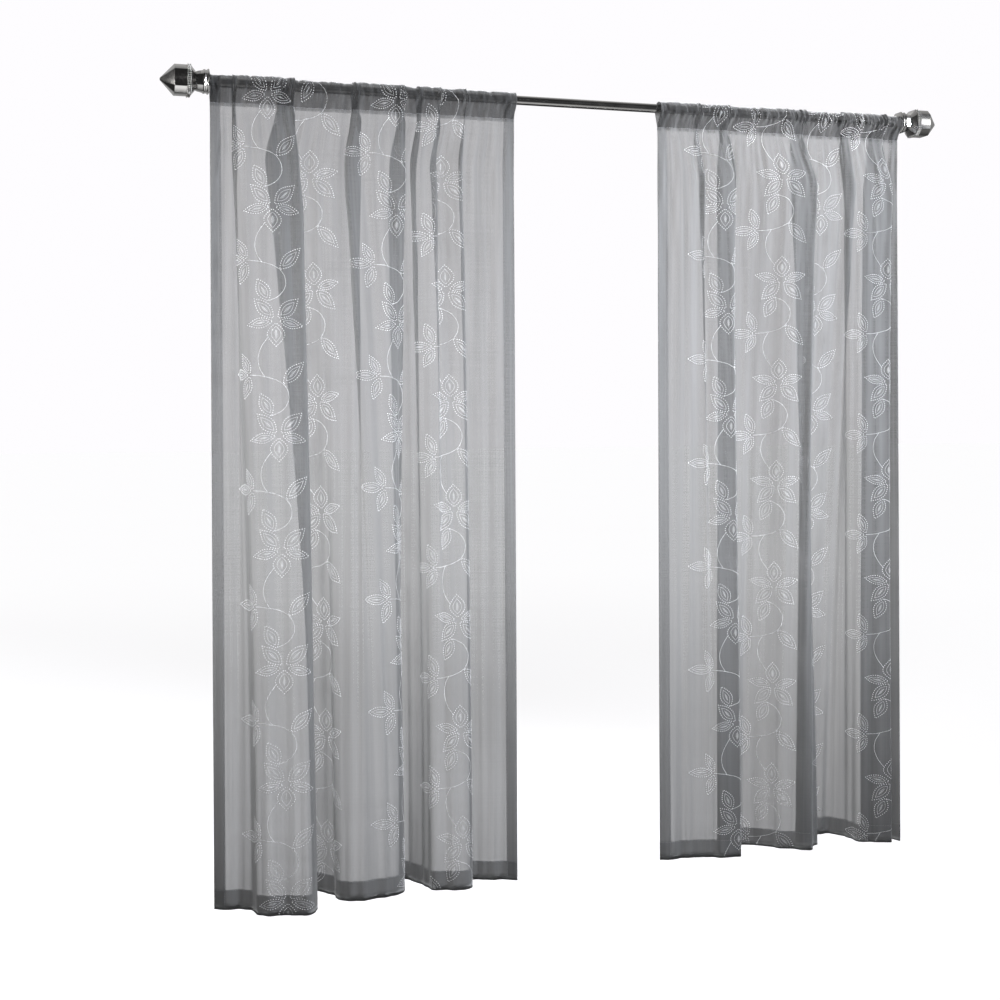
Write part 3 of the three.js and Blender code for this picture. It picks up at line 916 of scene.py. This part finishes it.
# %% Trees of nodes
class Tree:
    """A tree of nodes being written, for a material or for the surroundings."""

    def __init__(self, owner):
        owner.use_nodes = True
        self.tree = owner.node_tree
        self.tree.nodes.clear()

    def feed(self, socket, value):
        if isinstance(value, Tone):
            self.tree.links.new(value.socket, socket)
        else:
            socket.default_value = value

    def node(self, kind, settings=None, inputs=None, output=0):
        made = self.tree.nodes.new(kind)
        for key, value in (settings or {}).items():
            setattr(made, key, value)
        for socket, value in (inputs or {}).items():
            self.feed(made.inputs[socket], value)
        return None if output is None else Tone(self, made.outputs[output])

    def noise(self, where, scale, detail=2.0):
        return self.node("ShaderNodeTexNoise", None, {"Vector": where, "Scale": scale, "Detail": detail})

    def between(self, share, first, second):
        """A colour between two colours."""
        return self.node(
            "ShaderNodeMix", {"data_type": "RGBA", "clamp_factor": True}, {0: share, 6: first, 7: second}, 2
        )

    def stretched(self, where, across, up, deep=1.0):
        """Coordinates scaled differently each way, which draws a pattern out into streaks."""
        scale = (across, up, deep)
        return self.node("ShaderNodeMapping", {"vector_type": "POINT"}, {"Vector": where, "Scale": scale})

    def ramp(self, value, start, end):
        """0 at the start, 1 at the end and an even slope between them."""
        return self.node("ShaderNodeMapRange", None, {0: value, 1: start, 2: end})


print("a tree can", [name for name in vars(Tree) if not name.startswith("_")])

# %% [markdown]
# ## Materials
#
# A material is a tree with one shader. What is the same all over the surface is given when it is made, and
# what varies is set afterwards.

# %% Materials
class Finish(Tree):
    """A material with one shader and the values that are the same all over the surface."""

    def __init__(self, name, **same_all_over):
        self.material = bpy.data.materials.new(name)
        super().__init__(self.material)
        self.shader = self.tree.nodes.new("ShaderNodeBsdfPrincipled")
        self.node("ShaderNodeOutputMaterial", None, {"Surface": Tone(self, self.shader.outputs[0])}, None)
        self.set(**same_all_over)

    def set(self, **tones):
        for socket, value in tones.items():
            self.feed(self.shader.inputs[socket.replace("_", " ")], value)

    def bump(self, height, strength, distance):
        self.set(Normal=self.node(
            "ShaderNodeBump", None, {"Height": height, "Strength": strength, "Distance": distance}
        ))

    def put_on(self, *pieces):
        for piece in pieces:
            piece.data.materials.clear()
            piece.data.materials.append(self.material)


print("a finish can", [name for name in vars(Finish) if not name.startswith("_")])

# %% [markdown]
# ## Voile: how much it covers
#
# Voile is a plain weave of fine, hard-twisted yarn with air between the threads. Light goes straight through
# the gaps, so the finish is mostly a question of cover: how much of the surface is thread. One layer is
# still clear, two are denser, and a fold seen edge-on is nearly solid, since the eye then looks through more
# yarn. A see-through glass would bend the light, so the cover goes into Alpha. Slubs, which are thicker
# stretches of yarn, draw faint streaks both ways. The pocket is bunched and covers more, except where it is
# stretched flat over the rod, and towards the hem the cloth hangs a little denser.

# %% Cover of the voile
YARN_PITCH = 1.3 * MM
COVER = 0.70
WARP_COVER, WEFT_COVER, STREAK_COVER, WEAVE_COVER = 0.12, 0.08, 0.12, 0.02
POCKET_COVER, HEM_COVER, STRETCHED_COVER = 0.10, 0.14, -0.22
OVER_ROD = 37 * MM
DENSER_REACH = 800 * MM
EDGE_ON = 1.06

voile = Finish("voile", Roughness=0.78, Specular_IOR_Level=0.25, Sheen_Weight=0.55, Sheen_Roughness=0.5)
flat_place = voile.node("ShaderNodeUVMap", {"uv_map": "cloth"})
across = voile.node("ShaderNodeSeparateXYZ", None, {0: flat_place}, 0)
upward = voile.node("ShaderNodeSeparateXYZ", None, {0: flat_place}, 1)


def yarn_noise(across_scale, up_scale):
    """Noise on the flat cloth, drawn out into streaks where the two scales differ."""
    return voile.noise(voile.stretched(flat_place, across_scale, up_scale), 1.0)


warp_slub, weft_slub, streak = yarn_noise(190, 1.6), yarn_noise(2.2, 240), yarn_noise(45, 0.9)
weave = across.wave(YARN_PITCH) + upward.wave(YARN_PITCH)
turned_away = voile.node("ShaderNodeLayerWeight", None, {"Blend": 0.5}, 1)
tight = voile.node("ShaderNodeAttribute", {"attribute_name": "tight"}, None, "Fac")
in_pocket = upward.math("GREATER_THAN", upward, SEAM_HEIGHT)
over_rod = upward.math("GREATER_THAN", upward, SEAM_HEIGHT + OVER_ROD)
near_hem = voile.ramp(upward, HEM_HEIGHT + DENSER_REACH, HEM_HEIGHT)
cover = COVER + (warp_slub - 0.5) * WARP_COVER + (weft_slub - 0.5) * WEFT_COVER
cover = cover + (streak - 0.5) * STREAK_COVER + weave * WEAVE_COVER
cover = cover + in_pocket * POCKET_COVER + near_hem * HEM_COVER + over_rod * (1 - tight) * STRETCHED_COVER
voile.set(Alpha=1 - (1 - cover) ** (1 / (EDGE_ON - turned_away)))
print("voile covers", COVER, "of a layer seen square on")

# %% [markdown]
# ## Voile: its colour
#
# The yarn is a neutral grey. Long lighter and darker streaks of painted shade stand for small pleats that
# hang from the seam, which are too fine for the sheet. Bunched cloth lets little light out again, so painted
# shade darkens the colour in the pocket, in uneven streaks and most of all where a tuck draws it tight, and
# a little under the seam and towards the hem. So thin a cloth throws hardly any shadow, and its shadows are
# left out, which keeps the valleys between the folds clear.

# %% Colour of the voile
VOILE_SHADE = (0.090, 0.091, 0.091, 1)
VOILE_LIGHT = (0.206, 0.207, 0.209, 1)
# The darkest tone is painted shade, mixed into the colour where the pocket, heading and hem are darkened.
VOILE_PAINTED_SHADE = (0.030, 0.030, 0.031, 1)
PLEAT_SHADE_REACH = 900 * MM
PLEAT_SHADE_CONTRAST, SEAM_SHADE_CONTRAST = 0.6, 1.4
# How far below the seam the painted shade reaches, and how strong it is in the pocket, at tucks, under the
# seam and towards the hem.
HEADING_SHADE_REACH = 200 * MM
POCKET_PAINTED_SHADE, BUNCHED_PAINTED_SHADE, TIGHT_PAINTED_SHADE = 0.72, 2.0, 0.3
HEADING_PAINTED_SHADE, HEADING_TIGHT_PAINTED_SHADE, HEM_PAINTED_SHADE = 0.20, 0.35, 0.20

# cloudy is the yarn's own mottling; the pleat and bunched noises are painted shade of small pleats and of
# bunched cloth.
cloudy, pleat_shade, bunched = yarn_noise(9, 4), yarn_noise(62, 1.2), yarn_noise(80, 11)
pleat_shade_fade = voile.ramp(upward, SEAM_HEIGHT - PLEAT_SHADE_REACH, SEAM_HEIGHT)
near_seam = voile.ramp(upward, SEAM_HEIGHT - HEADING_SHADE_REACH, SEAM_HEIGHT)
# The yarn's own streaks and mottling, plus lighter and darker streaks of painted pleat shade, strongest near
# the seam.
yarn_tone_and_pleat_shade = 0.25 + 0.25 * warp_slub + 0.25 * cloudy
yarn_tone_and_pleat_shade = yarn_tone_and_pleat_shade + (PLEAT_SHADE_CONTRAST + SEAM_SHADE_CONTRAST * pleat_shade_fade) * (pleat_shade - 0.5)
single = voile.between(yarn_tone_and_pleat_shade, VOILE_SHADE, VOILE_LIGHT)
# Painted shade: the colour is darkened in the pocket, in bunched streaks and at tucks, under the seam and
# towards the hem.
deep = in_pocket * (POCKET_PAINTED_SHADE + BUNCHED_PAINTED_SHADE * (bunched - 0.5) + TIGHT_PAINTED_SHADE * tight)
deep = deep + near_seam * (HEADING_PAINTED_SHADE + HEADING_TIGHT_PAINTED_SHADE * tight) + near_hem * HEM_PAINTED_SHADE
voile.set(Base_Color=voile.between(deep, single, VOILE_PAINTED_SHADE))
voile.bump(weave * 0.5 + warp_slub, 0.18, 0.4 * MM)
voile.put_on(*sheets.values())
for sheet in sheets.values():
    sheet.visible_shadow = False
print("voile has", len(voile.tree.nodes), "nodes")

# %% [markdown]
# ## Thread finishes
#
# The embroidery is bright white, slightly glossy thread. Its twist is too fine to see, so a little noise in
# its whiteness and its shine is enough. The sewing thread is dyed to match the voile.

# %% Finish of the threads
TWIST_SCALE = 900.0


def thread_finish(name, dark, light):
    thread = Finish(name, Specular_IOR_Level=0.4, Sheen_Weight=0.3, Sheen_Roughness=0.35)
    place = thread.node("ShaderNodeTexCoord", None, None, 3)
    twist = thread.noise(place, TWIST_SCALE)
    thread.set(Base_Color=thread.between(twist, dark, light), Roughness=0.42 + twist * 0.25)
    thread.bump(twist, 0.3, 0.3 * MM)
    return thread


white_thread = thread_finish("embroidery_thread", (0.80, 0.80, 0.82, 1), (0.90, 0.90, 0.90, 1))
white_thread.put_on(*(piece for pieces in sprays.values() for piece in pieces))
grey_thread = thread_finish("sewing_thread", (0.24, 0.24, 0.26, 1), (0.34, 0.34, 0.36, 1))
grey_thread.put_on(*sewing.values())
print("threads:", white_thread.material.name, grey_thread.material.name)

# %% [markdown]
# ## Nickel plate
#
# The rod and its ends are plated with polished nickel, a mirror with a faint warm tint. Handling leaves it
# slightly hazy in places, so its roughness wanders, and the drawn rod keeps fine marks along its length. The
# beads are the same plate, duller because a cloth never reaches between them.

# %% Finish of the metal
NICKEL_WARM = (0.53, 0.515, 0.49, 1)
NICKEL_COOL = (0.43, 0.43, 0.435, 1)
MARK_SCALE = 260
HAZE_SCALE = 22.0
HAZE_DULLING = 0.10


def nickel_finish(name, streak, marked, dull=0.07):
    nickel = Finish(name, Metallic=1.0)
    place = nickel.node("ShaderNodeTexCoord", None, None, 3)
    marks = nickel.noise(nickel.stretched(place, streak, MARK_SCALE, MARK_SCALE), 1.0, 3.0)
    hazy = nickel.noise(place, HAZE_SCALE, 3.0)
    nickel.set(Base_Color=nickel.between(hazy, NICKEL_COOL, NICKEL_WARM))
    nickel.set(Roughness=dull + marks * marked + hazy * HAZE_DULLING)
    nickel.bump(marks, 0.06, 0.2 * MM)
    return nickel


rod_nickel = nickel_finish("rod_nickel", 6, 0.10)
rod_nickel.put_on(rod)
cast_nickel = nickel_finish("finial_nickel", 90, 0.06)
cast_nickel.put_on(*(parts[part] for parts in ends.values() for part in ("collar", "finial")))
bead_nickel = nickel_finish("bead_nickel", 90, 0.06, 0.30)
bead_nickel.put_on(*(parts["beads"] for parts in ends.values()))
print("metal:", rod_nickel.material.name, cast_nickel.material.name, bead_nickel.material.name)

# %% [markdown]
# ## What stands for what
#
# Each dressed piece rides on the curtain's one body and stands for its plain solid.

# %% Tie the pieces to the solids
def stand_for(piece, slot, *nodes):
    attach(piece, "root")
    if nodes:
        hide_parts(*nodes)


stand_for(rod, "rod_metal", "rod")
for side, parts in ends.items():
    stand_for(parts["collar"], "finial_metal", f"collar_{side}")
    stand_for(parts["finial"], "finial_metal", f"finial_{side}")
    stand_for(parts["beads"], "finial_metal")
for side, sheet in sheets.items():
    stitched = [sewing[side], *sprays[side]]
    stand_for(sheet, "voile", f"panel_{side}")
    for piece in stitched:
        stand_for(piece, "voile")

# %% [markdown]
# ## The floor
#
# The curtain hangs just clear of a pale floor in a white studio. A lit floor alone would turn grey in the
# distance and draw a line behind the sheer cloth, so it glows by itself, and far away it glows as bright
# as the white behind it. It neither lights the cloth nor shows in the metal.

# %% Floor
FLOOR_GAP = 16 * MM
FLOOR_REACH = 60
FLOOR_TONES = (0.88, 0.87, 0.88, 1), (0.91, 0.90, 0.91, 1)
GLOW_NEAR, GLOW_FAR = (0.58, 0.58, 0.58, 1), (0.66, 0.66, 0.66, 1)
NEAR_ENDS, FAR_STARTS = 1.5, 9.0

floor_shape = bmesh.new()
bmesh.ops.create_grid(floor_shape, x_segments=1, y_segments=1, size=FLOOR_REACH)
bmesh.ops.translate(floor_shape, verts=floor_shape.verts, vec=(0, 0, HEM_HEIGHT - FLOOR_GAP))
floor = finish_mesh("pale_floor", floor_shape, math.radians(30))
floor.visible_diffuse = False
floor.visible_glossy = False
pale = Finish("pale_floor", Roughness=0.9, Specular_IOR_Level=0.1, Emission_Strength=1.0)
floor_place = pale.node("ShaderNodeTexCoord", None, None, 3)
far = pale.node("ShaderNodeVectorMath", {"operation": "LENGTH"}, {0: floor_place}, 1)
away = pale.node(
    "ShaderNodeMapRange", {"interpolation_type": "SMOOTHSTEP"}, {0: far, 1: NEAR_ENDS, 2: FAR_STARTS}
)
pale.set(Base_Color=pale.between(pale.noise(floor_place, 0.8), *FLOOR_TONES))
pale.set(Emission_Color=pale.between(away, GLOW_NEAR, GLOW_FAR))
pale.put_on(floor)
print("floor", FLOOR_GAP / MM, "mm below the hems")

# %% [markdown]
# ## Surroundings
#
# Polished metal shows whatever is around it, and a white studio would turn it white. So there are three
# surroundings, and the kind of ray picks one: plain white for the eye, a soft grey that lights the cloth, and
# one that only the metal mirrors. That last one is dark in front, bright above and behind, with a pale line
# from below, which gives the rod its dark front between two light edges.

# %% Surroundings
BACKDROP = (0.992, 0.980, 1.0, 1)
DIM, BRIGHT = (0.06, 0.06, 0.065, 1), (0.8, 0.8, 0.81, 1)
LIT_STRENGTH = 0.8
FROM_BEHIND, FROM_BELOW = (0, 0.75, 0.66), (0, -0.40, -0.92)

world = bpy.data.worlds.new("studio")
bpy.context.scene.world = world
sky = Tree(world)
direction = sky.node("ShaderNodeTexCoord")
depth, rise = (sky.node("ShaderNodeSeparateXYZ", None, {0: direction}, axis) for axis in (1, 2))
off_level = rise.math("ABSOLUTE", rise)
glow = sky.between(0.15 + 0.5 * depth + 0.55 * off_level, DIM, BRIGHT)
seen = sky.node("ShaderNodeBackground", None, {"Color": BACKDROP, "Strength": 1.0})
lit = sky.node("ShaderNodeBackground", None, {"Color": glow, "Strength": LIT_STRENGTH})


def glow_from(aim, power):
    """A soft glow in the surroundings, brightest in one direction."""
    facing = sky.node("ShaderNodeVectorMath", {"operation": "DOT_PRODUCT"}, {0: direction, 1: aim}, 1)
    return facing.math("MAXIMUM", facing, 0.0) ** power


mirror_tone = 0.03 + 0.85 * glow_from(FROM_BEHIND, 2.0) + 1.6 * glow_from(FROM_BELOW, 14.0)
mirrored = sky.node("ShaderNodeBackground", None, {"Color": (1, 1, 1, 1), "Strength": mirror_tone})
in_view, in_metal = (sky.node("ShaderNodeLightPath", None, None, ray) for ray in (0, "Is Glossy Ray"))
around = sky.node("ShaderNodeMixShader", None, {0: in_metal, 1: lit, 2: mirrored})
around = sky.node("ShaderNodeMixShader", None, {0: in_view, 1: around, 2: seen})
sky.node("ShaderNodeOutputWorld", None, {"Surface": around}, None)
print("surroundings have", len(sky.tree.nodes), "nodes")

# %% [markdown]
# ## Lights
#
# A soft key light stands to the front left, a strong fill to the right, and a rake almost level with the
# cloth at the far left draws out the folds. A small light lifts the right heading. Two more are there for
# the metal, a strip above and a glint for the right finial. A light can be kept off the metal or off
# the cloth, so each does one job.

# %% Lights
def soft_light(name, place, aim, size, spread, power, colour, on_cloth=True, on_metal=True):
    lamp = bpy.data.lights.new(name, "AREA")
    lamp.shape, lamp.size, lamp.size_y = "RECTANGLE", size[0], size[1]
    lamp.energy, lamp.color, lamp.spread = power, colour, math.radians(spread)
    light = new_object(name, lamp)
    light.visible_camera = False
    light.visible_diffuse, light.visible_glossy = on_cloth, on_metal
    light.location = place
    light.rotation_euler = (Vector(aim) - Vector(place)).to_track_quat("-Z", "Y").to_euler()


COOL, WARM, WHITE = (0.91, 0.945, 1.0), (1.0, 0.99, 0.97), (1.0, 1.0, 1.0)
soft_light("key", (-3.6, -3.0, -0.4), (-0.05, 0, -0.95), (1.0, 0.8), 36, 6.3, COOL)
soft_light("fill", (4.4, -2.9, 0.5), (0.1, 0, -0.75), (0.9, 1.2), 40, 35.5, COOL)
soft_light("rake", (-4.6, -0.9, -0.1), (0.2, 0, -0.80), (0.4, 1.0), 50, 13.0, WARM)
soft_light("heading", (2.7, -2.7, 0.8), (0.72, 0, 0.24), (0.5, 0.3), 20, 2.6, WHITE, on_metal=False)
soft_light("strip", (0.2, -4.2, 0.92), (-0.6, 0, 0), (1.4, 0.12), 170, 1.2, WHITE)
soft_light("glint", (3.55, -3.9, 0.87), (1.07, 0, 0), (0.5, 0.8), 170, 3.0, WHITE, on_cloth=False)
scene = bpy.context.scene
scene.view_settings.view_transform = "Standard"
scene.cycles.transparent_max_bounces = 40

# %% [markdown]
# ## The camera
#
# The viewer stands to the left of the middle and below the rod, and looks straight ahead and a little to
# the right. The lens is level, so upright lines stay upright, and the frame is shifted down to take in the
# hem, as an architect's camera does.

# %% Camera
CAMERA_PLACE = (-1.4078, -3.8939, -0.8704)
CAMERA_YAW = math.radians(16.86)
CAMERA_ROLL = math.radians(0.29)
FOCAL_LENGTH, FILM_WIDTH = 54.0, 36.0
FRAME_SHIFT = -0.080

camera_data = bpy.data.cameras.new("viewer")
camera_data.lens, camera_data.sensor_width, camera_data.shift_y = FOCAL_LENGTH, FILM_WIDTH, FRAME_SHIFT
viewer = new_object("viewer", camera_data)
turn = Matrix.Rotation(-CAMERA_YAW, 4, "Z") @ Matrix.Rotation(math.pi / 2, 4, "X")
roll = Matrix.Rotation(-CAMERA_ROLL, 4, "Z")
viewer.matrix_world = Matrix.Translation(CAMERA_PLACE) @ turn @ roll
scene.camera = viewer
print("camera at", CAMERA_PLACE)
